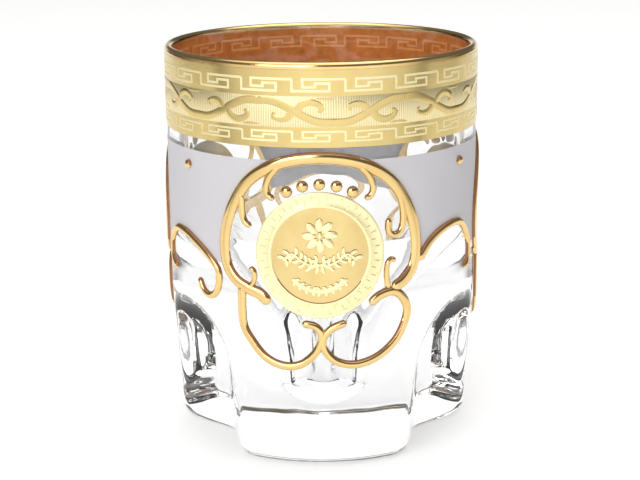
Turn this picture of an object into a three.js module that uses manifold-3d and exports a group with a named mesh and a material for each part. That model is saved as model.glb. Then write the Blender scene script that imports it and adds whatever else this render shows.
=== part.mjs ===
// Footed crystal shot glass with a gilded rim band, three satin panels and three
// medallions, each set in raised gold scrollwork above one foot of the glass.
// Millimetres, +Z up. The origin is on the ground at the axis, and the front faces -Y.
import * as THREE from 'three';
import { mergeVertices } from 'three/addons/utils/BufferGeometryUtils.js';
import Module from 'manifold-3d';

const wasm = await Module();
wasm.setup();

// ---- glass body ----
const height = 63.5;
const bodyRadius = 25;
const wall = 1.7;
const rimWall = 1.1;
const footCount = 3;
const footHalfWidth = 14.2;
const footTaper = 0.5;
const heelDraft = 1.1;
const heelHeight = 4.5;
const heelRound = 2.4;
const notchSpringHeight = 12;
const notchTopHeight = 24.5;
const notchCornerRound = 1.6;
const notchGroundRound = 1.2;
const cornerBlendGround = 6;
const cornerBlendTop = 1;
const cornerFadeHeight = 14;
const cornerFadePower = 1.5;
const cavityFloorHeight = 5.5;
const cavityTaperHeight = 36;
const cavityTipRadius = 5;
const cavityTaperPower = 2.4;

// ---- gilded bands and satin panels: thin fired-on layers ----
const bandThickness = 0.12;
const bandTopDrop = 0.9;
const bandHeight = 11.6;
const clearRingHeight = 2.0;
const satinThickness = 0.05;
const layerClearance = 0.02;
const rimLipReach = 52;

// ---- raised gold ----
const reliefHeight = 0.6;
const reliefClearance = 0.05;
const archGap = 0.55;
const medallionRadius = 9.8;
const medallionThickness = 0.15;
const borderInnerRadius = 7.35;
const borderHeight = 0.22;
const emblemHeight = 0.2;
const stackClearance = 0.05;
const pearlCount = 5;
const pearlRadius = 0.9;
const pearlHeight = 0.6;
const pearlPitch = 13.5;
const pearlGap = 0.2;
const dotRadius = 0.75;
const dotDrop = 16.9;
const archHalfWidth = 0.95;
const loopHalfWidth = 0.7;
const curlHalfWidth = 0.5;
const linkHalfWidth = 0.7;

// ---- mesh fineness ----
const ringSegments = 90;
const rimSteps = 4;
const discSegments = 24;
const stripSides = 6;
const leafSides = 4;
const joint = 0.02;

// The medallions were laid by hand, so their turns about the axis are a little uneven.
const medallionTurns = [-1, 112, 239];
const dotTurns = [58, 178, -55];

const bandTop = height - bandTopDrop;
const bandBottom = bandTop - bandHeight;
const satinTop = bandBottom - clearRingHeight;
const skinRadius = bodyRadius + layerClearance;
const reliefRadius = skinRadius + satinThickness + reliefClearance;
const heelRadius = bodyRadius - heelDraft;

const gold = { color: 0xd9b45a, metalness: 1, roughness: 0.22 };
const paleGold = { color: 0xe8c877, metalness: 1, roughness: 0.35 };
const crystal = { color: 0xdfe6ea, metalness: 0, roughness: 0.03 };
const satin = { color: 0xd3cfd6, metalness: 0, roughness: 0.7 };

const glassGroup = new THREE.Group();

function addPart(name, geometry, look) {
  const mesh = new THREE.Mesh(geometry, new THREE.MeshStandardMaterial(look));
  mesh.name = name;
  glassGroup.add(mesh);
}

// ---- solids ----
function weld(geometry) {
  const bare = geometry.clone();
  bare.deleteAttribute('normal');
  bare.deleteAttribute('uv');
  return mergeVertices(bare, 1e-4);
}

function toSolid(geometry) {
  const welded = weld(geometry);
  const mesh = new wasm.Mesh({
    numProp: 3,
    vertProperties: new Float32Array(welded.attributes.position.array),
    triVerts: new Uint32Array(welded.index.array),
  });
  return new wasm.Manifold(mesh);
}

function toGeometry(solid) {
  const mesh = solid.getMesh();
  const geometry = new THREE.BufferGeometry();
  geometry.setAttribute('position', new THREE.BufferAttribute(mesh.vertProperties, 3));
  geometry.setIndex(new THREE.BufferAttribute(mesh.triVerts, 1));
  geometry.computeVertexNormals();
  return geometry;
}

function joined(geometries) {
  return toGeometry(geometries.map(toSolid).reduce((whole, next) => whole.add(next)));
}

// Turns a lathe, which stands along +Y, so that it stands along +Z.
function latheUp(profile, segments) {
  return new THREE.LatheGeometry(profile, segments).rotateX(Math.PI / 2);
}

function moveVertices(geometry, place) {
  const position = geometry.attributes.position;
  const point = new THREE.Vector3();
  for (let i = 0; i < position.count; i += 1) {
    point.fromBufferAttribute(position, i);
    place(point);
    position.setXYZ(i, point.x, point.y, point.z);
  }
  return geometry;
}

// Wraps flat work (x to the right, y up, z outwards) on the glass around one turn.
function wrap(geometry, turn, centreHeight, baseRadius = reliefRadius) {
  return moveVertices(geometry, (point) => {
    const angle = THREE.MathUtils.degToRad(turn) + point.x / bodyRadius;
    const radius = baseRadius + point.z;
    point.set(radius * Math.sin(angle), -radius * Math.cos(angle), centreHeight + point.y);
  });
}

// ---- glass body ----
function arcPoints(centreX, centreY, radius, from, to, steps) {
  const points = [];
  for (let i = 0; i <= steps; i += 1) {
    const angle = THREE.MathUtils.degToRad(from + ((to - from) * i) / steps);
    points.push(new THREE.Vector2(centreX + radius * Math.cos(angle), centreY + radius * Math.sin(angle)));
  }
  return points;
}

// The drinking cavity narrows below the taper height to a small round tip.
function cavityPoints() {
  const innerRadius = bodyRadius - wall;
  const tipTop = cavityFloorHeight + cavityTipRadius;
  const steps = 9;
  const points = [];
  for (let i = 0; i < steps; i += 1) {
    const share = 1 - i / steps;
    const radius = cavityTipRadius + (innerRadius - cavityTipRadius) * share ** cavityTaperPower;
    points.push(new THREE.Vector2(radius, tipTop + (cavityTaperHeight - tipTop) * share));
  }
  return points.concat(arcPoints(0, tipTop, cavityTipRadius, 0, -90, 4));
}

function outerRadiusAt(z) {
  const rise = THREE.MathUtils.clamp((z - heelHeight) / (notchTopHeight - heelHeight), 0, 1);
  return heelRadius + heelDraft * rise;
}

// Heights where the feet get a ring of vertices: even below the spring, closer near the top.
function footLevels() {
  const straightSteps = 4;
  const archSteps = 8;
  const levels = [];
  for (let i = 1; i <= straightSteps; i += 1) {
    levels.push(heelRound + ((notchSpringHeight - heelRound) * i) / straightSteps);
  }
  for (let i = 1; i <= archSteps; i += 1) {
    const rise = Math.sin(((Math.PI / 2) * i) / archSteps);
    levels.push(notchSpringHeight + (notchTopHeight - notchSpringHeight) * rise);
  }
  return levels;
}

function bodyProfile() {
  const rimRound = rimWall / 2;
  const rim = arcPoints(bodyRadius - rimRound, height - rimRound, rimRound, 0, 180, rimSteps);
  const profile = [
    new THREE.Vector2(0, 0),
    ...arcPoints(heelRadius - heelRound, heelRound, heelRound, -90, 0, 5),
    ...footLevels().map((z) => new THREE.Vector2(outerRadiusAt(z), z)),
    ...rim,
    ...cavityPoints(),
  ];
  profile[profile.length - 1].x = 0;
  return profile;
}

// Half the width of a foot at one height: rounded below, and spreading to close the arch above.
function footHalfWidthAt(z) {
  let half = footHalfWidth - footTaper * Math.max(0, 1 - z / notchSpringHeight);
  const below = THREE.MathUtils.clamp(notchGroundRound - z, 0, notchGroundRound);
  half -= notchGroundRound - Math.sqrt(notchGroundRound ** 2 - below ** 2);
  if (z > notchSpringHeight) {
    const share = Math.min((z - notchSpringHeight) / (notchTopHeight - notchSpringHeight), 1);
    const closed = (bodyRadius + 0.5) * Math.sin(Math.PI / footCount);
    half += (closed - half) * (1 - Math.sqrt(1 - share ** 2));
  }
  return half;
}

// How far out the wall of a notch lies in one direction. Its two sides run parallel to the feet.
function notchWallAt(angle, z) {
  const halfTurn = Math.PI / footCount;
  const lean = THREE.MathUtils.euclideanModulo(angle, 2 * halfTurn) - halfTurn;
  const apex = footHalfWidthAt(z) / Math.sin(halfTurn);
  const along = Math.cos(lean);
  const across = Math.sin(lean) / Math.tan(halfTurn);
  const squeeze = along ** 2 - across ** 2;
  const inside = (apex * along) ** 2 - squeeze * (apex ** 2 - notchCornerRound ** 2);
  return (apex * along + Math.sqrt(Math.max(inside, 0))) / squeeze;
}

function softMin(a, b, blend) {
  const near = Math.max(blend - Math.abs(a - b), 0) / blend;
  return Math.min(a, b) - (near * near * blend) / 4;
}

// The upright edges of the feet grow rounder towards the ground.
function cornerBlendAt(z) {
  const share = THREE.MathUtils.clamp(1 - z / cornerFadeHeight, 0, 1);
  return cornerBlendTop + (cornerBlendGround - cornerBlendTop) * share ** cornerFadePower;
}

// The notches between the feet are pressed into the round body from the side.
function makeBody() {
  const wallLimit = THREE.MathUtils.degToRad(2);
  const pressed = moveVertices(latheUp(bodyProfile(), ringSegments), (point) => {
    const radius = Math.hypot(point.x, point.y);
    const angle = Math.atan2(point.x, -point.y);
    const lean = THREE.MathUtils.euclideanModulo(angle + Math.PI / footCount, (2 * Math.PI) / footCount);
    const onFoot = Math.abs(lean - Math.PI / footCount) < wallLimit;
    const onSkin = radius > heelRadius - heelRound - joint && point.z < notchTopHeight - joint;
    if (onFoot || !onSkin) return;
    const held = softMin(radius, notchWallAt(angle, point.z), cornerBlendAt(point.z)) / radius;
    point.set(point.x * held, point.y * held, point.z);
  });
  addPart('glass_body', toGeometry(toSolid(pressed)), crystal);
}

// ---- gilding ----
function ring(innerRadius, outerRadius, bottom, top, segments) {
  const profile = [
    new THREE.Vector2(innerRadius, bottom),
    new THREE.Vector2(outerRadius, bottom),
    new THREE.Vector2(outerRadius, top),
    new THREE.Vector2(innerRadius, top),
    new THREE.Vector2(innerRadius, bottom),
  ];
  return latheUp(profile, segments);
}

function makeBand() {
  const outer = skinRadius + bandThickness;
  addPart('gold_band', ring(skinRadius, outer, bandBottom, bandTop, ringSegments), gold);
}

// The gilding turns over the outer edge of the rim as a thin lip.
function makeRimLip() {
  const rimRound = rimWall / 2;
  const centre = bodyRadius - rimRound;
  const low = bandTop + layerClearance;
  const under = rimRound + 2 * layerClearance;
  const over = under + bandThickness;
  const profile = [
    new THREE.Vector2(centre + under, low),
    new THREE.Vector2(centre + over, low),
    ...arcPoints(centre, height - rimRound, over, 0, rimLipReach, rimSteps),
    ...arcPoints(centre, height - rimRound, under, rimLipReach, 0, rimSteps),
    new THREE.Vector2(centre + under, low),
  ];
  addPart('gold_rim_lip', latheUp(profile, ringSegments), gold);
}

// ---- scrollwork, drawn in millimetres from the middle of a medallion of the drawn radius ----
const drawnRadius = 9.8;
const frameScale = medallionRadius / drawnRadius;
const archRight = [
  [0, 14.9], [4.1, 14.5], [8.1, 13.1], [11.2, 10.8], [13.4, 7.7], [14.9, 4.2],
  [15.5, 0.6], [15.0, -2.6], [13.4, -4.7], [11.2, -5.8],
];
const archTailLeft = [[-9.2, -6.5], [-7.9, -7.9]];
const curlUpper = [[6.0, 13.7], [7.4, 12.1], [8.1, 10.4], [7.8, 9.1], [6.8, 8.5]];
const curlLeft = [[-12.4, 9.1], [-12.2, 7.4], [-12.1, 6.0], [-11.6, 4.6], [-10.6, 4.1]];
const curlRight = [
  [11.7, 10.1], [12.8, 7.6], [13.1, 5.2], [12.8, 3.4], [11.9, 2.6], [10.9, 2.8], [10.5, 3.9],
  [10.7, 5.2],
];
const hookLeft = [[-12.0, -5.6], [-10.7, -5.1], [-10.2, -3.9], [-10.4, -2.8], [-11.1, -2.5]];
const hookRight = [[10.6, -5.8], [10.3, -3.8], [10.4, -2.0], [11.0, -1.2], [11.8, -1.5]];
const loopLeft = [
  [-12.4, -5.4], [-12.5, -8.6], [-12.2, -11.8], [-10.7, -14.2], [-8.5, -16.5], [-5.7, -17.6],
  [-2.9, -17.2], [-0.7, -15.2], [0.2, -12.9], [-0.7, -11.2], [-2.8, -10.7],
];
const loopRight = [
  [7.6, -8.0], [9.2, -6.7], [11.4, -6.3], [13.0, -7.4], [13.9, -9.5], [13.2, -12.0],
  [11.6, -14.4], [8.7, -16.5], [5.3, -17.4], [2.3, -16.7], [0.5, -14.7], [0.5, -12.9],
  [1.9, -11.4], [4.0, -10.6],
];

// Links: shares of the space between two frames, and heights from the middle of the medallions.
const linkNear = [
  [-0.019, -2.1], [0.114, 0.5], [0.3, 2.0], [0.554, 2.3], [0.713, 0.3], [0.796, -2.4],
  [0.769, -4.9], [0.683, -5.6],
];
const linkFar = [
  [0.37, -5.8], [0.265, -4.1], [0.265, -1.3], [0.399, 0.9], [0.579, 0.9], [0.758, -0.4],
  [0.892, -2.0], [0.973, -3.6], [0.984, -5.3], [0.956, -7.1], [0.881, -8.1], [0.803, -7.4],
  [0.756, -5.7],
];
const archTop = Math.max(...archRight.map(([, y]) => y)) * frameScale + archHalfWidth * frameScale;
const archSide = Math.max(...archRight.map(([x]) => x)) * frameScale + archHalfWidth * frameScale;
const medallionHeight = bandBottom - archGap - archTop;

const smoothLine = (points) => new THREE.SplineCurve(points.map(([x, y]) => new THREE.Vector2(x, y)));
const mirrored = (points) => points.map(([x, y]) => [-x, y]);
const scaled = (points, scale) => points.map(([x, y]) => [x * scale, y * scale]);

// A raised strip with a flat back and a crowned face, drawn along a line and tapered at its ends.
function strip(points, halfWidth, steps, crown = reliefHeight, sides = stripSides) {
  const tipShare = 0.45;
  const tipReach = 0.25;
  const line = smoothLine(points);
  const rod = new THREE.CylinderGeometry(1, 1, 1, sides, steps);
  return moveVertices(rod, (point) => {
    const share = THREE.MathUtils.clamp(0.5 - point.y, 0, 1);
    const at = line.getPointAt(share);
    const along = line.getTangentAt(share);
    const nearEnd = Math.min(1, Math.min(share, 1 - share) / tipReach);
    const full = tipShare + (1 - tipShare) * Math.sqrt(nearEnd * (2 - nearEnd));
    const across = point.z * halfWidth * full;
    const raise = Math.max(point.x, 0) * crown * full / Math.cos(Math.PI / sides);
    point.set(at.x + along.y * across, at.y - along.x * across, Math.min(raise, crown));
  });
}

const fullArch = [...mirrored(archRight).reverse(), ...archRight.slice(1)];

function frameWork() {
  const lines = [
    [[...archTailLeft.slice().reverse(), ...fullArch], archHalfWidth, 28],
    [curlUpper, curlHalfWidth, 5],
    [mirrored(curlUpper), curlHalfWidth, 5],
    [curlLeft, curlHalfWidth, 5],
    [curlRight, curlHalfWidth, 9],
    [hookLeft, curlHalfWidth, 5],
    [hookRight, curlHalfWidth, 5],
    [loopLeft, loopHalfWidth, 14],
    [loopRight, loopHalfWidth, 16],
  ];
  return joined(lines.map(([line, half, steps]) => (
    strip(scaled(line, frameScale), half * frameScale, steps)
  )));
}

// ---- medallions ----
// A lathe that lies flat: its axis points outwards from the glass.
function flatLathe(profile, segments) {
  return latheUp(profile.map(([x, y]) => new THREE.Vector2(x, y)), segments);
}

const borderMiddleRadius = (borderInnerRadius + medallionRadius) / 2;

function discWork() {
  const edges = [0, borderInnerRadius / 2, borderInnerRadius, borderMiddleRadius, medallionRadius];
  const under = edges.map((radius) => [radius, 0]);
  const over = edges.slice().reverse().map((radius) => [radius, medallionThickness]);
  return flatLathe([...under, ...over], discSegments);
}

function borderWork() {
  const low = medallionThickness + stackClearance;
  const bevel = borderHeight / 2;
  const profile = [
    [borderInnerRadius, low],
    [borderMiddleRadius, low],
    [medallionRadius, low],
    [medallionRadius - bevel, low + borderHeight],
    [borderInnerRadius + bevel, low + borderHeight],
    [borderInnerRadius, low],
  ];
  return flatLathe(profile, discSegments);
}

// The emblem is a plain flower with leafy sprays to each side and a garland below it.
const emblemBase = medallionThickness + stackClearance;
const drawnField = 7.35;
const emblemScale = borderInnerRadius / drawnField;
const petals = 8;
const rosetteRise = 3.1;
const rosetteRadius = 1.85;
const petalDepth = 0.5;
const leafHalfWidth = 0.36;

function rosetteWork() {
  const outline = new THREE.Shape();
  const points = petals * 6;
  for (let i = 0; i < points; i += 1) {
    const angle = (2 * Math.PI * i) / points;
    const radius = (rosetteRadius + petalDepth * Math.cos(petals * angle)) * emblemScale;
    const place = [radius * Math.cos(angle), rosetteRise * emblemScale + radius * Math.sin(angle)];
    if (i === 0) outline.moveTo(...place);
    else outline.lineTo(...place);
  }
  const flower = new THREE.ExtrudeGeometry(outline, { depth: emblemHeight, bevelEnabled: false });
  return flower.translate(0, 0, emblemBase);
}

function sprayWork() {
  const stem = [[-5.6, -0.9], [-4.2, 0.2], [-2.6, -0.9], [-0.8, -1.6], [1.0, -1.0]];
  const leafA = [[-4.4, 0.0], [-4.9, 1.2], [-4.0, 1.9]];
  const leafB = [[-2.4, -1.0], [-2.9, -2.0], [-4.2, -2.3]];
  const strips = [];
  for (const line of [stem, leafA, leafB]) {
    for (const side of [line, mirrored(line)]) {
      const drawn = scaled(side, emblemScale);
      strips.push(strip(drawn, leafHalfWidth, line.length + 1, emblemHeight, leafSides));
    }
  }
  return joined(strips).translate(0, 0, emblemBase);
}

function garlandWork() {
  const sweep = scaled([[-4.2, -3.7], [-2.2, -5.1], [0, -5.6], [2.2, -5.1], [4.2, -3.7]], emblemScale);
  const pieces = [strip(sweep, leafHalfWidth, 6, emblemHeight, leafSides)];
  const line = smoothLine(sweep);
  const leaves = 4;
  const leafReach = 0.9 * emblemScale;
  for (let i = 0; i < leaves; i += 1) {
    const at = line.getPointAt((i + 0.5) / leaves);
    const lean = at.x > 0 ? leafReach : -leafReach;
    const leaf = [[at.x, at.y - leafHalfWidth / 2], [at.x + lean, at.y + leafReach]];
    pieces.push(strip(leaf, leafHalfWidth, 2, emblemHeight, leafSides));
  }
  return joined(pieces).translate(0, 0, emblemBase);
}

// ---- pearls and dots ----
function dome(radius, crown) {
  const profile = [[0, 0]];
  const steps = 3;
  for (let i = 0; i <= steps; i += 1) {
    const angle = ((Math.PI / 2) * i) / steps;
    profile.push([radius * Math.cos(angle), crown * Math.sin(angle)]);
  }
  profile[profile.length - 1][0] = 0;
  return flatLathe(profile, 8);
}

function makePearls(label, turn) {
  const reach = medallionRadius + pearlGap + pearlRadius;
  for (let i = 0; i < pearlCount; i += 1) {
    const lean = THREE.MathUtils.degToRad(pearlPitch * (i - (pearlCount - 1) / 2));
    const pearl = dome(pearlRadius, pearlHeight);
    pearl.translate(reach * Math.sin(lean), reach * Math.cos(lean), 0);
    addPart(`${label}_pearl_${i + 1}`, wrap(pearl, turn, medallionHeight), gold);
  }
}

function makeMedallions() {
  const works = [
    ['scroll_frame', frameWork(), gold],
    ['disc', discWork(), paleGold],
    ['border', borderWork(), paleGold],
    ['rosette', rosetteWork(), paleGold],
    ['sprays', sprayWork(), paleGold],
    ['garland', garlandWork(), paleGold],
  ];
  medallionTurns.forEach((turn, i) => {
    const label = `medallion_${i + 1}`;
    for (const [kind, work, look] of works) {
      addPart(`${label}_${kind}`, wrap(work.clone(), turn, medallionHeight), look);
    }
    makePearls(label, turn);
  });
}

// ---- links and satin panels ----
// The turn of the next medallion round the glass, counted on past a full turn.
const nextTurnAfter = (i) => {
  const next = medallionTurns[(i + 1) % medallionTurns.length];
  return i === medallionTurns.length - 1 ? next + 360 : next;
};
const arcAt = (turn) => THREE.MathUtils.degToRad(turn) * bodyRadius;
const links = [linkNear, linkFar, linkFar];

// A link as flat work: x is the arc round the glass from turn zero, y the height.
function linkLine(i) {
  const from = arcAt(medallionTurns[i]) + archSide;
  const to = arcAt(nextTurnAfter(i)) - archSide;
  return links[i].map(([share, y]) => [from + (to - from) * share, medallionHeight + y * frameScale]);
}

function makeLinks() {
  links.forEach((_, i) => {
    addPart(`scroll_link_${i + 1}`, wrap(strip(linkLine(i), linkHalfWidth, 16), 0, 0), gold);
  });
}

// The lower edge of a satin panel: down one frame, along the crest of the link, up the next frame.
function panelOutline(i) {
  const shoulder = 8;
  const crestDrop = 3.2 * frameScale;
  const atFrame = (points, turn) => scaled(points, frameScale).map(([x, y]) => [
    x + arcAt(turn),
    y + medallionHeight,
  ]);
  const side = archRight.slice(0, shoulder);
  const down = smoothLine(atFrame(side, medallionTurns[i])).getPoints(12);
  const up = smoothLine(atFrame(mirrored(side).reverse(), nextTurnAfter(i))).getPoints(12);
  const [start, end] = [down.at(-1), up[0]];
  const crest = linkLine(i).filter(([x, y]) => y > medallionHeight - crestDrop && x > start.x && x < end.x);
  const across = smoothLine([start.toArray(), ...crest, end.toArray()]).getPoints(12);
  const outline = [...down, ...across.slice(1, -1), ...up];
  outline.push(new THREE.Vector2(up.at(-1).x, height), new THREE.Vector2(down[0].x, height));
  return outline;
}

function makeSatinPanels() {
  const low = medallionHeight - archSide;
  const sleeve = toSolid(ring(skinRadius, skinRadius + satinThickness, low, satinTop, ringSegments));
  medallionTurns.forEach((_, i) => {
    const outline = new THREE.Shape(panelOutline(i));
    const block = new THREE.ExtrudeGeometry(outline, { depth: 1, bevelEnabled: false });
    moveVertices(block, (point) => {
      const angle = point.x / bodyRadius;
      const radius = point.z < 0.5 ? bodyRadius / 2 : bodyRadius * 4;
      point.set(radius * Math.sin(angle), -radius * Math.cos(angle), point.y);
    });
    addPart(`satin_panel_${i + 1}`, toGeometry(sleeve.intersect(toSolid(block))), satin);
  });
}

function makeDots() {
  dotTurns.forEach((turn, i) => {
    addPart(`gold_dot_${i + 1}`, wrap(dome(dotRadius, pearlHeight), turn, height - dotDrop), gold);
  });
}

makeBody();
makeBand();
makeRimLip();
makeSatinPanels();
makeMedallions();
makeLinks();
makeDots();

export default glassGroup;
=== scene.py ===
import bpy
import bmesh
import math
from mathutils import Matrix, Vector


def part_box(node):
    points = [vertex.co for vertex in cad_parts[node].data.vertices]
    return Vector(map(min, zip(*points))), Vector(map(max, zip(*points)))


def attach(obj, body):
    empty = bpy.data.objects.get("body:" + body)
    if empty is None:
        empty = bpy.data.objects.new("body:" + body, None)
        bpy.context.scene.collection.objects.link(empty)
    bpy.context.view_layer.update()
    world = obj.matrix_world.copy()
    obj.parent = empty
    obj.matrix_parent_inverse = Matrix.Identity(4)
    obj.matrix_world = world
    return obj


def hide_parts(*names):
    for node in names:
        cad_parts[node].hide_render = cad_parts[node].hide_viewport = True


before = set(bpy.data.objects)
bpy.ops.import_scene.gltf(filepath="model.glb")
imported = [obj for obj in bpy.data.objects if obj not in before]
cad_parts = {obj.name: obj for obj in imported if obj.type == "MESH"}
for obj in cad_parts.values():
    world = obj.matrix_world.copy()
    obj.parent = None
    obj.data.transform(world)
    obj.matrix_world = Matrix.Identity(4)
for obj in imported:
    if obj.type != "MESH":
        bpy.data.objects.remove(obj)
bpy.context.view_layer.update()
mm = 0.001
smoothAngle = 35  # edges sharper than this many degrees stay sharp
print("frame loaded:", len(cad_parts), "nodes")


def smoothLine(points, cuts=14):
    # a round line through a few points
    line = []
    padded = [points[0]] + list(points) + [points[-1]]
    for i in range(1, len(padded) - 2):
        a, b, c, d = [Vector(p) for p in padded[i - 1:i + 3]]
        for k in range(cuts):
            t = k / cuts
            spot = b * 2 + (c - a) * t
            spot += (a * 2 - b * 5 + c * 4 - d) * t ** 2
            spot += (b * 3 - a - c * 3 + d) * t ** 3
            line.append(spot / 2)
    line.append(Vector(points[-1]))
    return line


class Route:
    # a smooth line that can be read by its share of the length
    def __init__(self, points):
        self.line = smoothLine(points)
        self.marks = [0]
        for a, b in zip(self.line, self.line[1:]):
            self.marks.append(self.marks[-1] + (b - a).length)
        self.length = self.marks[-1]

    def at(self, share):
        want = min(max(share, 0), 1) * self.length
        i = 0
        while i < len(self.marks) - 2 and self.marks[i + 1] < want:
            i += 1
        a, b = self.line[i], self.line[i + 1]
        step = self.marks[i + 1] - self.marks[i]
        along = (b - a).normalized()
        return a + (b - a) * ((want - self.marks[i]) / step), along


def mirrored(points):
    return [(-x, y) for x, y in points]


def wrapRound(bm, turn, centreHeight, baseRadius):
    # flat work in millimetres (x right, y up, z out) goes on to the round glass
    for v in bm.verts:
        angle = math.radians(turn) + v.co.x / glass["radius"]
        out = baseRadius + v.co.z
        place = (out * math.sin(angle), -out * math.cos(angle), centreHeight + v.co.y)
        v.co = Vector(place) * mm


def makePiece(name, bm, looks, replaces=(), scale=1):
    # a second look, where one is given, goes on the faces turned in towards the glass
    if scale != 1:
        bmesh.ops.scale(bm, vec=(scale,) * 3, verts=bm.verts)
    if len(looks) > 1:
        for f in bm.faces:
            out = f.calc_center_median().xy.normalized()
            f.material_index = 1 if f.normal.xy.dot(out) < -0.6 else 0
    mesh = bpy.data.meshes.new(name)
    bm.to_mesh(mesh)
    bm.free()
    for look in looks:
        mesh.materials.append(look)
    mesh.shade_smooth()
    mesh.set_sharp_from_angle(angle=math.radians(smoothAngle))
    piece = bpy.data.objects.new(name, mesh)
    bpy.context.scene.collection.objects.link(piece)
    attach(piece, "root")
    if replaces:
        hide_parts(*replaces)


def spinProfile(profile, steps):
    # turns a list of (radius, height) about the axis into a closed skin
    bm = bmesh.new()
    verts = [bm.verts.new((r, 0, z)) for r, z in profile]
    edges = [bm.edges.new(pair) for pair in zip(verts, verts[1:])]
    bmesh.ops.spin(bm, geom=verts + edges, cent=(0, 0, 0), axis=(0, 0, 1), dvec=(0, 0, 0),
                   angle=math.tau, steps=steps, use_merge=True, use_duplicate=False)
    bmesh.ops.remove_doubles(bm, verts=bm.verts, dist=1e-4)
    faceOut(bm)
    return bm


def arcLine(x, y, radius, start, end, steps):
    line = []
    for i in range(steps + 1):
        angle = math.radians(start + (end - start) * i / steps)
        line.append((x + radius * math.cos(angle), y + radius * math.sin(angle)))
    return line


def addRibbon(bm, points, width, crown, base=0, sides=12, pitch=0.28, endWidth=None, endRound=1.2):
    # a strip with a flat back and a crowned face, round at both ends
    route = Route(points)
    steps = max(5, round(route.length / pitch))
    part = bmesh.new()
    bmesh.ops.create_cone(part, cap_ends=True, segments=sides, radius1=1, radius2=1, depth=1)
    lengthwise = [e for e in part.edges if abs(e.verts[0].co.z - e.verts[1].co.z) > 0.5]
    bmesh.ops.subdivide_edges(part, edges=lengthwise, cuts=steps - 1, use_grid_fill=True)
    last = width if endWidth is None else endWidth
    for v in part.verts:
        share = v.co.z + 0.5
        spot, along = route.at(share)
        half = width + (last - width) * share
        near = min(share, 1 - share) * route.length / (half * endRound)
        full = 1 if near >= 1 else 0.22 + 0.78 * math.sqrt(max(near * (2 - near), 0))
        across = v.co.x * half * full
        rise = max(v.co.y, -0.05) * crown * (0.35 + 0.65 * full)
        v.co = (spot.x - along.y * across, spot.y + along.x * across, base + rise)
    joinInto(bm, part)


def faceOut(bm):
    # every closed body shows its outside
    bmesh.ops.recalc_face_normals(bm, faces=bm.faces)
    if bm.calc_volume(signed=True) < 0:
        bmesh.ops.reverse_faces(bm, faces=bm.faces)


def joinInto(bm, part, closedBody=True):
    if closedBody:
        faceOut(part)
    carried = bpy.data.meshes.new("carried")
    part.to_mesh(carried)
    part.free()
    bm.from_mesh(carried)
    bpy.data.meshes.remove(carried)


class Value:
    # a socket that can be used in sums
    def __init__(self, tree, socket):
        self.tree = tree
        self.socket = socket

    def work(self, operation, first, second=None):
        made = self.tree.nodes.new("ShaderNodeMath")
        made.operation = operation
        for slot, given in enumerate((first, second)):
            if isinstance(given, Value):
                self.tree.links.new(given.socket, made.inputs[slot])
            elif given is not None:
                made.inputs[slot].default_value = given
        return Value(self.tree, made.outputs[0])

    def __add__(self, other):
        return self.work("ADD", self, other)

    def __radd__(self, other):
        return self.work("ADD", other, self)

    def __mul__(self, other):
        return self.work("MULTIPLY", self, other)

    def __rmul__(self, other):
        return self.work("MULTIPLY", other, self)

    def sine(self):
        return self.work("SINE", self)


class Look:
    # one material, or the world, and the nodes that it is made of
    def __init__(self, name, world=None):
        if world is None:
            self.material = bpy.data.materials.new(name)
            self.material.use_nodes = True
            self.tree = self.material.node_tree
        else:
            world.use_nodes = True
            self.tree = world.node_tree
        self.tree.nodes.clear()

    def node(self, kind, settings=None, sockets=None, out=0):
        made = self.tree.nodes.new("ShaderNode" + kind)
        for key, given in (settings or {}).items():
            if key == "stops":
                ramp = made.color_ramp
                while len(ramp.elements) < len(given):
                    ramp.elements.new(0.5)
                for element, (place, colour) in zip(ramp.elements, given):
                    element.position = place
                    element.color = (*colour, 1) if len(colour) == 3 else colour
            else:
                setattr(made, key, given)
        for key, given in (sockets or {}).items():
            if isinstance(given, Value):
                self.tree.links.new(given.socket, made.inputs[key])
            elif given is not None:
                made.inputs[key].default_value = given
        return Value(self.tree, made.outputs[out]) if made.outputs else None

    def place(self):
        return self.node("TexCoord", out="Object")

    def axes(self, vector):
        split = self.node("SeparateXYZ", sockets={"Vector": vector})
        return [Value(self.tree, split.socket.node.outputs[i]) for i in range(3)]

    def noise(self, vector, scale, detail=3, roughness=0.5):
        return self.node("TexNoise", sockets={
            "Vector": vector, "Scale": scale, "Detail": detail, "Roughness": roughness})

    def blend(self, factor, first, second):
        # a Mix node set to colour takes its factor at 0, its colours at 6 and 7, and gives output 2
        return self.node("Mix", {"data_type": "RGBA"}, {0: factor, 6: first, 7: second}, out=2)

    def bump(self, height, strength, distance):
        return self.node("Bump", sockets={
            "Height": height, "Strength": strength, "Distance": distance})

    def finish(self, surface):
        self.node("OutputMaterial", sockets={"Surface": surface})
        return self.material


def makeCrystal():
    look = Look("clearCrystal")
    waves = look.noise(look.place(), 90, detail=2)
    ripple = look.bump(waves, 0.25, 0.0006)
    return look.finish(look.node("BsdfPrincipled", sockets={
        "Base Color": (0.975, 0.98, 0.985, 1), "Roughness": 0.0, "IOR": 1.52,
        "Transmission Weight": 1.0, "Normal": ripple}))


def makeSatin():
    look = Look("satinEtch")
    cloud = look.noise(look.place(), 160, detail=4)
    fine = look.noise(look.place(), 5200, detail=2)
    colour = look.blend(cloud, (0.74, 0.72, 0.755, 1), (0.80, 0.785, 0.81, 1))
    grain = look.bump(fine, 0.15, 0.00004)
    return look.finish(look.node("BsdfPrincipled", sockets={
        "Base Color": colour, "Roughness": 0.55 + cloud * 0.15, "IOR": 1.4,
        "Transmission Weight": 0.25, "Specular IOR Level": 0.35, "Normal": grain}))


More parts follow.
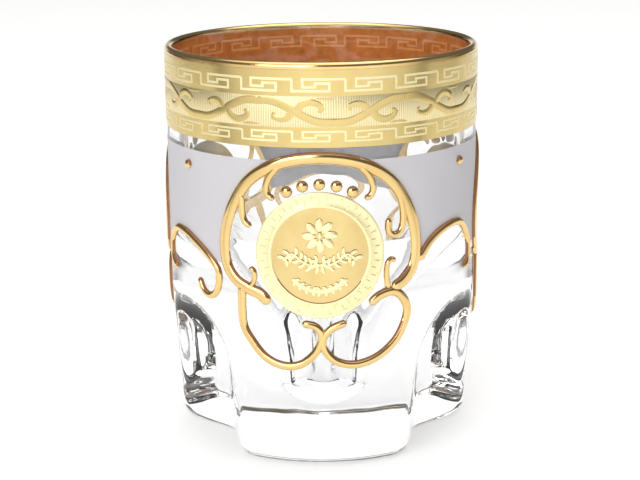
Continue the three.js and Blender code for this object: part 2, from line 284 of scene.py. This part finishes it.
def makeGold(name, light, deep, rough, grain=0.0):
    look = Look(name)
    spot = look.place()
    wear = look.noise(spot, 240, detail=5, roughness=0.6)
    fine = look.noise(spot, 2600, detail=3)
    colour = look.blend(wear, (*light, 1), (*deep, 1))
    skin = look.bump(fine, 0.1 + grain, 0.00005)
    return look.finish(look.node("BsdfPrincipled", sockets={
        "Base Color": colour, "Metallic": 1.0, "Roughness": rough + wear * 0.1, "Normal": skin}))


def makeFriezeGround():
    # matt gold with fine upright hatching
    look = Look("friezeMattGold")
    x, y = look.axes(look.place())[:2]
    angle = look.node("Math", {"operation": "ARCTAN2"}, {0: y, 1: x})
    hatch = (angle * bandWork["hatchLines"]).sine()
    speck = look.noise(look.place(), 3800, detail=2)
    colour = look.blend(((hatch + 1) * 0.5), (0.78, 0.64, 0.32, 1), (0.98, 0.88, 0.56, 1))
    relief = look.bump(hatch * 0.6 + speck, 0.35, 0.00006)
    return look.finish(look.node("BsdfPrincipled", sockets={
        "Base Color": colour, "Metallic": 1.0, "Roughness": 0.42 + speck * 0.1, "Normal": relief}))


def makeCopperBack(name, light, deep, glow):
    # the back of the fired gold, seen through the wall of the glass; any glow given is a painted
    # glow, as the gold's back is no lamp
    look = Look(name)
    cloud = look.noise(look.place(), 900, detail=4)
    colour = look.blend(cloud, (*deep, 1), (*light, 1))
    return look.finish(look.node("BsdfPrincipled", sockets={
        "Base Color": colour, "Metallic": 0.3, "Roughness": 0.34 + cloud * 0.14,
        "Emission Color": colour, "Emission Strength": glow}))


glass = {
    "height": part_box("glass_body")[1].z / mm,
    "radius": 25.0,
    "wall": 1.7,
    "rimWall": 1.1,
    "footHalfWidth": 14.2,
    "footTaper": 0.5,
    "edgeRound": 2.4,
    "heelRadius": 23.9,
    "heelHeight": 4.5,
    "notchSpring": 12.0,
    "notchTop": 24.5,
    "notchCorner": 1.6,
    "notchGroundRound": 1.2,
    "cornerBlendGround": 6.0,
    "cornerBlendTop": 1.0,
    "cornerFadeHeight": 14.0,
    "cornerFadePower": 1.5,
    "notchReach": 58,
    "notchCloses": 0.5,
    "heelStart": 0.3,
    "notchSkinAbove": 1.5,
    "cavityFloor": 5.5,
    "cavityTaperTop": 36.0,
    "cavityTip": 5.0,
    "cavityPower": 2.4,
    "steps": 384,
}


def footHalfWidthAt(z):
    spring, top, soft = glass["notchSpring"], glass["notchTop"], glass["notchGroundRound"]
    half = glass["footHalfWidth"] - glass["footTaper"] * max(0, 1 - z / spring)
    if z < soft:
        half -= soft - math.sqrt(soft ** 2 - (soft - z) ** 2)
    if z > spring:
        share = min((z - spring) / (top - spring), 1)
        closed = (glass["radius"] + glass["notchCloses"]) * math.sin(math.pi / 3)
        half += (closed - half) * (1 - math.sqrt(1 - share ** 2))
    return half


def notchRadius(angle, z):
    # how far out the notch wall is in one direction, or None where no wall lies that way
    sector = math.tau / 3
    lean = (angle % sector) - sector / 2
    if z >= glass["notchTop"] or abs(lean) > math.radians(glass["notchReach"]):
        return None
    apex = footHalfWidthAt(z) / math.sin(math.pi / 3)
    c, s = math.cos(lean), math.sin(lean)
    squeeze = c * c - s * s / 3
    inside = (apex * c) ** 2 - squeeze * (apex ** 2 - glass["notchCorner"] ** 2)
    return (apex * c + math.sqrt(max(inside, 0))) / squeeze


def softMin(a, b, blendWidth):
    near = max(blendWidth - abs(a - b), 0) / blendWidth
    return min(a, b) - near * near * blendWidth / 4


def cornerBlendAt(z):
    # the upright edges of the feet grow rounder towards the ground
    share = min(max(1 - z / glass["cornerFadeHeight"], 0), 1)
    added = glass["cornerBlendGround"] - glass["cornerBlendTop"]
    return glass["cornerBlendTop"] + added * share ** glass["cornerFadePower"]


def cavityRadiusAt(share):
    inner = glass["radius"] - glass["wall"]
    return glass["cavityTip"] + (inner - glass["cavityTip"]) * share ** glass["cavityPower"]


def bodyOutline():
    edge = glass["heelRadius"] - glass["edgeRound"]
    outline = [(edge * k / 6, 0) for k in range(6)]
    outline += arcLine(edge, glass["edgeRound"], glass["edgeRound"], -90, -6, 14)
    low, top = glass["edgeRound"] + glass["heelStart"], glass["notchTop"] + glass["notchSkinAbove"]
    rows = 64
    for i in range(rows + 1):
        z = low + (top - low) * i / rows
        lift = min(max((z - glass["heelHeight"]) / (glass["notchTop"] - glass["heelHeight"]), 0), 1)
        outline.append((glass["heelRadius"] + (glass["radius"] - glass["heelRadius"]) * lift, z))
    rimRound = glass["rimWall"] / 2
    straight = glass["height"] - rimRound
    for i in range(1, 12):
        outline.append((glass["radius"], top + (straight - top) * i / 12))
    outline += arcLine(glass["radius"] - rimRound, straight, rimRound, 0, 180, 12)
    tipTop = glass["cavityFloor"] + glass["cavityTip"]
    inner = glass["radius"] - glass["wall"]
    rimInner = glass["radius"] - glass["rimWall"]
    for i in range(1, 6):
        level = straight + (glass["cavityTaperTop"] - straight) * i / 6
        outline.append((rimInner + (inner - rimInner) * i / 6, level))
    for i in range(40):
        share = 1 - i / 40
        outline.append((cavityRadiusAt(share), tipTop + (glass["cavityTaperTop"] - tipTop) * share))
    outline += arcLine(0, tipTop, glass["cavityTip"], 0, -90, 12)
    outline[-1] = (0, outline[-1][1])
    return outline


def isOutside(radius, z):
    # outside skin of the foot, as against the cavity, which stays well inside it
    return z < glass["notchTop"] and radius > glass["heelRadius"] - glass["edgeRound"] - 0.01


def makeBody(looks):
    bm = spinProfile(bodyOutline(), glass["steps"])
    edge = glass["heelRadius"] - glass["edgeRound"]
    for v in bm.verts:
        radius = math.hypot(v.co.x, v.co.y)
        if radius < 1e-6:
            continue
        angle = math.atan2(v.co.x, -v.co.y)
        z = v.co.z
        if z < 1e-6 and radius <= edge + 0.01:
            wallAt = notchRadius(angle, 0)
            limit = edge if wallAt is None else softMin(edge, wallAt, cornerBlendAt(0))
            grow = limit / edge
        elif isOutside(radius, z):
            wallAt = notchRadius(angle, z)
            held = radius if wallAt is None else softMin(radius, wallAt, cornerBlendAt(z))
            grow = held / radius
        else:
            continue
        v.co.x *= grow
        v.co.y *= grow
    makePiece("crystalBody", bm, looks, ["glass_body"], scale=mm)


bandLow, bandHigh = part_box("gold_band")
bandWork = {
    "steps": 256,
    "softEdge": 0.04,
    "bottom": bandLow.z / mm,
    "top": bandHigh.z / mm,
    "inner": 25.02,
    "outer": 25.13,
    "relief": 0.04,
    "lipReach": 150,
    "lipUnder": 0.03,
    "lipOver": 0.13,
    "lipStart": 0.02,
    "keyCount": 20,
    "keyLine": 0.17,
    "upperKey": (59.3, 61.4),
    "scroll": (54.1, 58.7),
    "lowerKey": (51.9, 53.6),
    "scrollCount": 14,
    "hatchLines": 420,
    "sunk": 0.03,
    "keyCuts": 20,
    "keyTurn": 8,
    "insideGap": 0.006,
    "insideThickness": 0.008,
    "ringEdge": 0.02,
    "scrollTurn": 4,
    "scrollRise": 0.05,
    "stemWidth": 0.6,
    "hookWidth": 0.62,
    "leafWidth": 0.65,
    "dartWidth": 0.18,
}


def makeBand(goldLook, backLook):
    inner, outer = bandWork["inner"], bandWork["outer"]
    low, high = bandWork["bottom"], bandWork["top"]
    soft = bandWork["softEdge"]
    profile = [(inner, low), (outer - soft, low), (outer, low + soft)]
    profile += [(outer, low + (high - low) * i / 8) for i in range(1, 8)]
    profile += [(outer, high - soft), (outer - soft, high), (inner, high), (inner, low)]
    bm = spinProfile(profile, bandWork["steps"])
    makePiece("goldBand", bm, [goldLook, backLook], ["gold_band"], scale=mm)


def makeRimLip(look):
    # gilding from the outer edge over the top of the rim
    rimRound = glass["rimWall"] / 2
    centre = glass["radius"] - rimRound
    top = glass["height"] - rimRound
    under, over = rimRound + bandWork["lipUnder"], rimRound + bandWork["lipOver"]
    start = bandWork["top"] + bandWork["lipStart"]
    profile = [(centre + under, start), (centre + over, start)]
    profile += arcLine(centre, top, over, 0, bandWork["lipReach"], 10)
    profile += arcLine(centre, top, under, bandWork["lipReach"], 0, 10)
    profile.append(profile[0])
    bm = spinProfile(profile, bandWork["steps"])
    makePiece("goldRimLip", bm, [look], ["gold_rim_lip"], scale=mm)


# one key of the border, in shares of its pitch and height
keyPath = [(0, 1), (0, 0), (0.70, 0), (0.70, 0.64), (0.44, 0.64), (0.44, 0.34), (0.2, 0.34),
           (0.2, 1), (1, 1)]


def keyOutline(width, height, line):
    # both sides of the key's line, mitred at its corners
    half = line / 2
    spots = [Vector((x * width, half + y * (height - line))) for x, y in keyPath]
    left, right = [], []
    for i, spot in enumerate(spots):
        before = (spot - spots[i - 1]).normalized() if i else (spots[1] - spot).normalized()
        after = (spots[i + 1] - spot).normalized() if i < len(spots) - 1 else before
        sideA = Vector((-before.y, before.x))
        sideB = Vector((-after.y, after.x))
        mitre = sideA if (sideA - sideB).length < 1e-6 else sideA + sideB
        left.append(spot + mitre * half)
        right.append(spot - mitre * half)
    return left + right[::-1]


def makeKeyFrieze(name, heights, look, baseRadius, thickness):
    low, high = heights
    pitch = math.tau * glass["radius"] / bandWork["keyCount"]
    line = bandWork["keyLine"] * (high - low)
    key = bmesh.new()
    key.faces.new([key.verts.new((p.x, p.y, 0)) for p in keyOutline(pitch, high - low, line)])
    bmesh.ops.triangulate(key, faces=list(key.faces))
    # upright cuts, so that the key bends with the glass
    cuts = bandWork["keyCuts"]
    for k in range(cuts + 3):
        bmesh.ops.bisect_plane(key, geom=list(key.verts) + list(key.edges) + list(key.faces),
                               plane_co=(pitch * k / cuts + 0.01, 0, 0), plane_no=(1, 0, 0))
    raised = bmesh.ops.extrude_face_region(key, geom=list(key.faces))
    tops = [g for g in raised["geom"] if isinstance(g, bmesh.types.BMVert)]
    bmesh.ops.translate(key, vec=(0, 0, thickness), verts=tops)
    bm = bmesh.new()
    for i in range(bandWork["keyCount"]):
        joinInto(bm, key.copy())
        bmesh.ops.translate(key, vec=(pitch, 0, 0), verts=key.verts)
    key.free()
    wrapRound(bm, bandWork["keyTurn"], low, baseRadius)
    makePiece(name, bm, [look])


def makeFriezeRing(name, heights, rise, look):
    low, high = heights
    inner, outer = bandWork["outer"] - bandWork["sunk"], bandWork["outer"] + rise
    side, face = outer - bandWork["ringEdge"], bandWork["sunk"]
    profile = [(inner, low), (side, low), (outer, low + face), (outer, (low + high) / 2),
               (outer, high - face), (side, high), (inner, high), (inner, low)]
    makePiece(name, spinProfile(profile, bandWork["steps"]), [look], scale=mm)


def makeScrollFrieze(look):
    low, high = bandWork["scroll"]
    count = bandWork["scrollCount"]
    pitch = math.tau * glass["radius"] / count
    stem = [(-0.6, -1.55), (2.2, -1.5), (5.0, -0.35), (6.6, 0.55), (9.0, 1.5), (11.8, 1.55)]
    hook = [(5.9, 0.2), (6.3, -0.85), (7.6, -1.45), (9.0, -1.1), (9.5, -0.4), (8.8, 0.0)]
    leaf = [(5.2, -0.2), (4.6, 0.75), (3.4, 1.15), (2.2, 0.75), (2.6, 0.1)]
    dart = [(8.6, -2.0), (10.0, -1.9), (11.4, -2.0)]
    rise = bandWork["scrollRise"]
    bm = bmesh.new()
    for flip in (1, -1):
        run = bmesh.new()
        addRibbon(run, stem, bandWork["stemWidth"], rise, sides=8, pitch=0.6)
        addRibbon(run, hook, bandWork["hookWidth"], rise, sides=8, pitch=0.4, endWidth=0.4)
        addRibbon(run, leaf, bandWork["leafWidth"], rise, sides=8, pitch=0.4, endWidth=0.25)
        addRibbon(run, dart, bandWork["dartWidth"], rise, sides=6, pitch=0.6)
        bmesh.ops.scale(run, vec=(1, flip, 1), verts=run.verts)
        bmesh.ops.translate(run, vec=(pitch * (0 if flip > 0 else 1), 0, 0), verts=run.verts)
        if flip < 0:
            bmesh.ops.reverse_faces(run, faces=run.faces)
        for i in range(count // 2):
            joinInto(bm, run.copy(), closedBody=False)
            bmesh.ops.translate(run, vec=(2 * pitch, 0, 0), verts=run.verts)
        run.free()
    wrapRound(bm, bandWork["scrollTurn"], (low + high) / 2, bandWork["outer"] + bandWork["sunk"])
    makePiece("bandScrollFrieze", bm, [look])


medallion = {
    "turns": (-1, 112, 239),
    "height": glass["height"] - 28.9,
    "radius": 9.8,
    "borderInner": 7.35,
    "archHalfWidth": 0.95,
    "thickness": 0.15,
    "borderRise": 0.22,
    "base": 25.06,
    "relief": 0.62,
    "pearls": 5,
    "pearlRadius": 0.9,
    "pearlPitch": 13.5,
    "pearlGap": 0.2,
    "ticks": 48,
    "steps": 96,
    "curlHalfWidth": 0.62,
    "curlTip": 0.5,
    "hookHalfWidth": 0.5,
    "hookTip": 0.42,
    "loopHalfWidth": 0.75,
    "loopTip": 0.6,
    "linkHalfWidth": 0.72,
    "linkTip": 0.55,
    "beadRise": 0.62,
    "dotTurns": (58, 178, -55),
    "dotRadius": 0.75,
    "dotBelowTop": 16.9,
}

archRight = [(0, 14.9), (4.1, 14.5), (8.1, 13.1), (11.2, 10.8), (13.4, 7.7), (14.9, 4.2),
             (15.5, 0.6), (15.0, -2.6), (13.4, -4.7), (11.2, -5.8)]
archTail = [(-9.2, -6.5), (-7.9, -7.9)]
curlUpper = [(6.0, 13.7), (7.4, 12.1), (8.1, 10.4), (7.8, 9.1), (6.8, 8.5)]
curlLeft = [(-12.4, 9.1), (-12.2, 7.4), (-12.1, 6.0), (-11.6, 4.6), (-10.6, 4.1)]
curlRight = [(11.7, 10.1), (12.8, 7.6), (13.1, 5.2), (12.8, 3.4), (11.9, 2.6), (10.9, 2.8),
             (10.5, 3.9), (10.7, 5.2)]
hookLeft = [(-12.0, -5.6), (-10.7, -5.1), (-10.2, -3.9), (-10.4, -2.8), (-11.1, -2.5)]
hookRight = [(10.6, -5.8), (10.3, -3.8), (10.4, -2.0), (11.0, -1.2), (11.8, -1.5)]
loopLeft = [(-12.4, -5.4), (-12.5, -8.6), (-12.2, -11.8), (-10.7, -14.2), (-8.5, -16.5),
            (-5.7, -17.6), (-2.9, -17.2), (-0.7, -15.2), (0.2, -12.9), (-0.7, -11.2), (-2.8, -10.7)]
loopRight = [(7.6, -8.0), (9.2, -6.7), (11.4, -6.3), (13.0, -7.4), (13.9, -9.5), (13.2, -12.0),
             (11.6, -14.4), (8.7, -16.5), (5.3, -17.4), (2.3, -16.7), (0.5, -14.7), (0.5, -12.9),
             (1.9, -11.4), (4.0, -10.6)]

# links between medallions: share of the gap between two frames, and height from their middle
linkNear = [(-0.019, -2.1), (0.114, 0.5), (0.3, 2.0), (0.554, 2.3), (0.713, 0.3),
            (0.796, -2.4), (0.769, -4.9), (0.683, -5.6)]
linkFar = [(0.37, -5.8), (0.265, -4.1), (0.265, -1.3), (0.399, 0.9), (0.579, 0.9),
           (0.758, -0.4), (0.892, -2.0), (0.973, -3.6), (0.984, -5.3), (0.956, -7.1),
           (0.881, -8.1), (0.803, -7.4), (0.756, -5.7)]
links = [linkNear, linkFar, linkFar]


def eachMedallion(flat, name, node, looks):
    # the same flat work is wrapped on for each of the three medallions
    for number, turn in enumerate(medallion["turns"], 1):
        bm = flat.copy()
        wrapRound(bm, turn, medallion["height"], medallion["base"])
        makePiece(f"{name}{number}", bm, looks, [f"medallion_{number}_{node}"])
    flat.free()


def makeFrames(looks):
    fullArch = archTail[::-1] + mirrored(archRight)[::-1] + archRight[1:]
    rise = medallion["relief"]
    bm = bmesh.new()
    addRibbon(bm, fullArch, medallion["archHalfWidth"], rise, sides=16)
    for line in (curlUpper, mirrored(curlUpper), curlLeft, curlRight):
        addRibbon(bm, line, medallion["curlHalfWidth"], rise * 0.9, sides=14,
                  endWidth=medallion["curlTip"])
    for line in (hookLeft, hookRight):
        addRibbon(bm, line, medallion["hookHalfWidth"], rise * 0.8, sides=14,
                  endWidth=medallion["hookTip"])
    for line in (loopLeft, loopRight):
        addRibbon(bm, line, medallion["loopHalfWidth"], rise * 0.95, sides=16,
                  endWidth=medallion["loopTip"])
    eachMedallion(bm, "scrollFrame", "scroll_frame", looks)


def makeDiscs(looks):
    edge, inner = medallion["radius"], medallion["borderInner"]
    thick = medallion["thickness"]
    hollow, lift, bevel = 0.11, 0.02, 0.05
    dish = [(0, hollow)] + [(inner * k / 6, hollow + lift * (k / 6) ** 4) for k in range(1, 7)]
    rim = [(edge - bevel, thick), (edge, thick - bevel), (edge, 0)]
    back = [(edge * k / 4, 0) for k in (3, 2, 1, 0)]
    field = spinProfile(dish + rim + back, medallion["steps"])
    eachMedallion(field, "medallionField", "disc", looks)


def makeBorder(looks):
    # a raised ring with a bead at each edge, and ticks between the beads
    edge, inner = medallion["radius"], medallion["borderInner"]
    low = medallion["thickness"] - 0.02
    top = low + medallion["borderRise"]
    profile = [(inner, low), (inner + 0.12, top - 0.04), (inner + 0.22, top), (inner + 0.45, top),
               (inner + 0.55, top - 0.06), (edge - 0.55, top - 0.06), (edge - 0.4, top),
               (edge - 0.15, top), (edge, top - 0.08), (edge, low), (inner, low)]
    bm = spinProfile(profile, medallion["steps"])
    middle = (edge + inner) / 2
    span = edge - inner - 1.1
    tickBase = top - 0.07
    for k in range(medallion["ticks"]):
        angle = math.tau * k / medallion["ticks"]
        out = Vector((math.cos(angle), math.sin(angle)))
        side = Vector((-out.y, out.x))
        shift = span * (0.16 if k % 2 else -0.16)
        a = out * (middle + shift - span * 0.32)
        b = out * (middle + shift + span * 0.32)
        addRibbon(bm, [a, b], 0.13, 0.1, base=tickBase, sides=8, pitch=0.4)
        foot = b if k % 2 else a
        addRibbon(bm, [foot - side * 0.02, foot + side * 0.55], 0.11, 0.1, base=tickBase,
                  sides=8, pitch=0.4)
    eachMedallion(bm, "medallionBorder", "border", looks)


emblem = {
    "base": 0.12,
    "petals": 8,
    "flowerHeight": 3.1,
    "petalStart": 0.6,
    "petalMiddle": 1.6,
    "petalEnd": 2.7,
    "petalTwist": 0.12,
    "petalWidth": 0.62,
    "petalRise": 0.3,
    "leafWidth": 0.33,
    "leafRise": 0.24,
    "sprayLeaves": 8,
    "sprayReach": 1.05,
    "sprayLean": -0.75,
    "garlandLeaves": 9,
    "garlandReach": 0.7,
    "garlandLean": 0.5,
}


def addLeaves(bm, line, count, reach, lean):
    # pairs of leaves along a stem, leaning towards the medallion's middle or, below zero, away
    route = Route(line)
    for k in range(count):
        spot, along = route.at((k + 0.5) / count)
        tilt = along * (lean if spot.x < 0 else -lean) * math.copysign(1, along.x)
        for side in (1, -1):
            out = Vector((-along.y, along.x)) * reach * side
            leaf = [spot, spot + out * 0.7 + tilt * 0.4, spot + out + tilt]
            addRibbon(bm, leaf, emblem["leafWidth"], emblem["leafRise"], base=emblem["base"],
                      sides=8, pitch=0.25, endRound=2.0)


def makeFlower(looks):
    base = emblem["base"]
    centre = Vector((0, emblem["flowerHeight"]))
    flower = bmesh.new()
    for k in range(emblem["petals"]):
        angle = math.tau * k / emblem["petals"]
        out = Vector((math.cos(angle), math.sin(angle)))
        side = Vector((-out.y, out.x)) * emblem["petalTwist"]
        petal = [centre + out * emblem["petalStart"], centre + out * emblem["petalMiddle"] + side,
                 centre + out * emblem["petalEnd"]]
        addRibbon(flower, petal, emblem["petalWidth"], emblem["petalRise"], base=base, sides=12,
                  pitch=0.25, endRound=1.6)
    eye = [(-0.35, centre.y), (0.35, centre.y)]
    addRibbon(flower, eye, 0.75, 0.4, base=base, sides=14, pitch=0.12, endRound=1.0)
    eachMedallion(flower, "emblemFlower", "rosette", looks)


def makeSprays(looks):
    stem = [(-5.6, -0.9), (-4.2, 0.2), (-2.6, -0.9), (-0.8, -1.6), (1.0, -1.0)]
    sprays = bmesh.new()
    for points in (stem, mirrored(stem)):
        addRibbon(sprays, points, 0.3, 0.2, base=emblem["base"], sides=10, pitch=0.25, endWidth=0.2)
        addLeaves(sprays, points, emblem["sprayLeaves"], emblem["sprayReach"], emblem["sprayLean"])
    eachMedallion(sprays, "emblemSprays", "sprays", looks)


def makeGarland(looks):
    sweep = [(-4.2, -3.7), (-2.2, -5.1), (0, -5.6), (2.2, -5.1), (4.2, -3.7)]
    bm = bmesh.new()
    addRibbon(bm, sweep, 0.4, 0.2, base=emblem["base"], sides=10, pitch=0.25)
    addLeaves(bm, sweep, emblem["garlandLeaves"], emblem["garlandReach"], emblem["garlandLean"])
    eachMedallion(bm, "emblemGarland", "garland", looks)


def domeAt(bm, x, y, radius, rise):
    # a small bead: half a ball with a flat foot just below it
    bead = bmesh.new()
    bmesh.ops.create_uvsphere(bead, u_segments=24, v_segments=16, radius=1)
    for v in bead.verts:
        up = max(v.co.z, -0.05)
        v.co = (x + v.co.x * radius, y + v.co.y * radius, up * rise)
    joinInto(bm, bead)


def makeBeads(looks):
    size, rise = medallion["pearlRadius"], medallion["beadRise"]
    reach = medallion["radius"] + medallion["pearlGap"] + size
    for number, turn in enumerate(medallion["turns"], 1):
        for k in range(medallion["pearls"]):
            lean = math.radians(medallion["pearlPitch"] * (k - (medallion["pearls"] - 1) / 2))
            bm = bmesh.new()
            domeAt(bm, reach * math.sin(lean), reach * math.cos(lean), size, rise)
            wrapRound(bm, turn, medallion["height"], medallion["base"])
            makePiece(f"pearl{number}x{k + 1}", bm, looks,
                      [f"medallion_{number}_pearl_{k + 1}"])
    for number, turn in enumerate(medallion["dotTurns"], 1):
        bm = bmesh.new()
        domeAt(bm, 0, 0, medallion["dotRadius"], rise)
        wrapRound(bm, turn, glass["height"] - medallion["dotBelowTop"], medallion["base"])
        makePiece(f"goldDot{number}", bm, looks, [f"gold_dot_{number}"])


def arcAt(turn):
    return math.radians(turn) * glass["radius"]


def turnsBeside(number):
    # a medallion's turn, and the turn of the next one counted on past a full turn
    turns = medallion["turns"]
    return turns[number], turns[(number + 1) % 3] + (360 if number == 2 else 0)


def linkLine(number):
    side = max(x for x, y in archRight) + medallion["archHalfWidth"]
    here, beyond = turnsBeside(number)
    start, end = arcAt(here) + side, arcAt(beyond) - side
    return [(start + (end - start) * share, medallion["height"] + y) for share, y in links[number]]


def makeLinks(looks):
    for number in range(3):
        bm = bmesh.new()
        addRibbon(bm, linkLine(number), medallion["linkHalfWidth"], medallion["relief"], sides=16,
                  endWidth=medallion["linkTip"])
        wrapRound(bm, 0, 0, medallion["base"])
        makePiece(f"scrollLink{number + 1}", bm, looks, [f"scroll_link_{number + 1}"])


satinPanel = {
    "belowTop": 14.5,
    "linkDepth": 3.2,
    "step": 0.2,
    "leastHeight": 0.02,
    "thickness": 0.035,
    "gap": 0.012,
}


def panelEdge(number):
    # down one frame, along the crest of the link, and up the next frame
    here, beyond = turnsBeside(number)
    middle = medallion["height"]
    side = archRight[:8]
    down = smoothLine([(x + arcAt(here), y + middle) for x, y in side])
    up = smoothLine([(x + arcAt(beyond), y + middle) for x, y in mirrored(side)[::-1]])
    crest = [p for p in linkLine(number)
             if p[1] > middle - satinPanel["linkDepth"] and down[-1].x < p[0] < up[0].x]
    return down + smoothLine([tuple(down[-1])] + crest + [tuple(up[0])]) + up


def levelAt(edge, x, top):
    levels = [a.y + (b.y - a.y) * (x - a.x) / (b.x - a.x) for a, b in zip(edge, edge[1:])
              if min(a.x, b.x) <= x <= max(a.x, b.x) and abs(a.x - b.x) > 1e-9]
    return max(levels) if levels else top


def makeSatinPanels(look):
    # each panel is a fine strip of sleeve whose lower edge follows the gold
    top = glass["height"] - satinPanel["belowTop"]
    for number in range(3):
        edge = panelEdge(number)
        left, right = edge[0].x, edge[-1].x
        bm = bmesh.new()
        columns = round((right - left) / satinPanel["step"])
        bmesh.ops.create_grid(bm, x_segments=columns, y_segments=1, size=0.5)
        for v in bm.verts:
            x = left + (v.co.x + 0.5) * (right - left)
            ground = min(levelAt(edge, x, top), top - satinPanel["leastHeight"])
            v.co = (x, top if v.co.y > 0 else ground, 0)
        bmesh.ops.solidify(bm, geom=list(bm.faces), thickness=-satinPanel["thickness"])
        faceOut(bm)
        wrapRound(bm, 0, 0, glass["radius"] + satinPanel["gap"])
        makePiece(f"satinPanel{number + 1}", bm, [look], [f"satin_panel_{number + 1}"])


crystal = makeCrystal()
satin = makeSatin()
polished = makeGold("polishedGold", (0.90, 0.67, 0.31), (0.72, 0.48, 0.18), 0.1)
# the band's gold is a darker copy of the polished gold: the darkening is painted shade, standing in
# for dark reflections
bandGoldPaintedShade = makeGold("bandGoldPaintedShade", (0.76, 0.59, 0.26), (0.62, 0.47, 0.18), 0.15)
paleMatt = makeGold("paleMattGold", (1.0, 0.92, 0.58), (0.97, 0.86, 0.48), 0.45, 0.25)
# the medallion field's gold is darker than the polished gold: the darkening is painted shade on the
# field
fieldGoldPaintedShade = makeGold("fieldGoldPaintedShade", (0.84, 0.66, 0.31), (0.62, 0.46, 0.18), 0.24, 0.1)
# copper backs of the band and the keys: the copper tone is real, the emission on them is a painted
# glow
copperBack = makeCopperBack("copperBackOfGoldPaintedGlow", (0.96, 0.33, 0.07), (0.48, 0.12, 0.02), glow=0.2)
brownBack = makeCopperBack("brownBackOfRelief", (0.42, 0.20, 0.09), (0.22, 0.09, 0.04), glow=0)
copperLine = makeCopperBack("copperBackOfKeysPaintedGlow", (0.98, 0.46, 0.18), (0.84, 0.32, 0.1), glow=0.22)
friezeGround = makeFriezeGround()
print("materials ready")

makeBody([crystal])
print("glass body done")
makeBand(bandGoldPaintedShade, copperBack)
makeRimLip(polished)
for row in ("upperKey", "lowerKey"):
    outside, rise = bandWork["outer"] - bandWork["sunk"], bandWork["relief"] + bandWork["sunk"]
    makeKeyFrieze(row + "Frieze", bandWork[row], paleMatt, outside, rise)
    inside = glass["radius"] + bandWork["insideGap"]
    makeKeyFrieze(row + "FromInside", bandWork[row], copperLine, inside, bandWork["insideThickness"])
makeFriezeRing("scrollFriezeGround", bandWork["scroll"], bandWork["sunk"], friezeGround)
makeScrollFrieze(bandGoldPaintedShade)
print("rim gilding done")
reliefGold = [polished, brownBack]
makeFrames(reliefGold)
makeDiscs([fieldGoldPaintedShade, brownBack])
makeBorder([paleMatt, brownBack])
makeFlower([paleMatt, brownBack])
makeSprays([paleMatt, brownBack])
makeGarland([paleMatt, brownBack])
makeBeads(reliefGold)
makeLinks(reliefGold)
makeSatinPanels(satin)
print("decoration done")


studio = {
    "floorWidth": 0.9,
    "floorDepth": 1.6,
    "floorFront": 0.07,
    "cameraPlace": (-0.0004, -0.2494, 0.0961),
    "cameraPitch": 14.75,
    "cameraRoll": -0.5,
    "lens": 87.3,
    "sensor": 36,
    "aim": (0, 0, 0.03),
    "frontPlace": (-0.3, -0.6, 0.35),
    "frontSize": (0.5, 0.4),
    "frontPower": 2.2,
    "topPlace": (0.05, 0.1, 0.7),
    "topSize": (0.6, 0.6),
    "topPower": 0.9,
}


def makeFloor():
    bm = bmesh.new()
    bmesh.ops.create_grid(bm, x_segments=1, y_segments=1, size=0.5)
    bmesh.ops.scale(bm, vec=(studio["floorWidth"], studio["floorDepth"], 1), verts=bm.verts)
    middle = studio["floorDepth"] / 2 - studio["floorFront"]
    bmesh.ops.translate(bm, vec=(0, middle, 0), verts=bm.verts)
    mesh = bpy.data.meshes.new("paleFloor")
    bm.to_mesh(mesh)
    bm.free()
    look = Look("paleFloor")
    mesh.materials.append(look.finish(look.node("BsdfPrincipled", sockets={
        "Base Color": (0.9, 0.9, 0.9, 1), "Roughness": 0.9,
        "Emission Color": (1, 1, 1, 1), "Emission Strength": 0.35})))
    floor = bpy.data.objects.new("paleFloor", mesh)
    bpy.context.scene.collection.objects.link(floor)


def addPanelLight(name, place, size, power):
    lamp = bpy.data.lights.new(name, "AREA")
    lamp.shape = "RECTANGLE"
    lamp.size, lamp.size_y = size
    lamp.energy = power
    lit = bpy.data.objects.new(name, lamp)
    lit.location = place
    lit.rotation_euler = (Vector(studio["aim"]) - Vector(place)).to_track_quat("-Z", "Y").to_euler()
    bpy.context.scene.collection.objects.link(lit)


def makeWorld():
    world = bpy.data.worlds.new("softStudio")
    bpy.context.scene.world = world
    look = Look("softStudio", world)
    y, z = look.axes(look.node("TexCoord", out="Generated"))[1:]
    # light round the glass, from behind it (0) to in front of it (1)
    toFront = y * -0.5 + 0.5
    around = look.node("ValToRGB", {"stops": [
        (0.0, (1.0, 1.0, 1.0)), (0.05, (1.0, 1.0, 1.0)), (0.09, (0.06, 0.055, 0.05)),
        (0.26, (0.09, 0.08, 0.07)), (0.44, (0.42, 0.41, 0.40)), (0.60, (0.36, 0.35, 0.34)),
        (0.72, (0.95, 0.95, 0.95)), (1.0, (1.4, 1.4, 1.4))]},
        {"Fac": toFront})
    # light by height, with a pale window overhead
    overhead = look.node("ValToRGB", {"stops": [
        (0.05, (1, 1, 1)), (0.18, (0.12, 0.115, 0.11)), (0.72, (0.2, 0.19, 0.18)),
        (0.84, (1.3, 1.3, 1.3))]},
        {"Fac": z})
    rising = look.node("ValToRGB", {"stops": [(0.05, (0, 0, 0)), (0.18, (1, 1, 1))]}, {"Fac": z})
    sky = look.blend(rising, around, overhead)
    glow = look.node("Background", sockets={"Color": sky, "Strength": 1.0})
    look.node("OutputWorld", sockets={"Surface": glow})


def makeCamera():
    camera = bpy.data.cameras.new("camera")
    camera.lens = studio["lens"]
    camera.sensor_width = studio["sensor"]
    camera.clip_start = 0.01
    eye = bpy.data.objects.new("camera", camera)
    eye.location = studio["cameraPlace"]
    eye.rotation_mode = "ZXY"
    eye.rotation_euler = (math.radians(90 - studio["cameraPitch"]), 0,
                          math.radians(studio["cameraRoll"]))
    bpy.context.scene.collection.objects.link(eye)
    bpy.context.scene.camera = eye


makeFloor()
makeWorld()
makeCamera()
addPanelLight("frontSoftbox", studio["frontPlace"], studio["frontSize"], studio["frontPower"])
addPanelLight("topSoftbox", studio["topPlace"], studio["topSize"], studio["topPower"])
bpy.context.scene.view_settings.view_transform = "Standard"
print("studio ready")
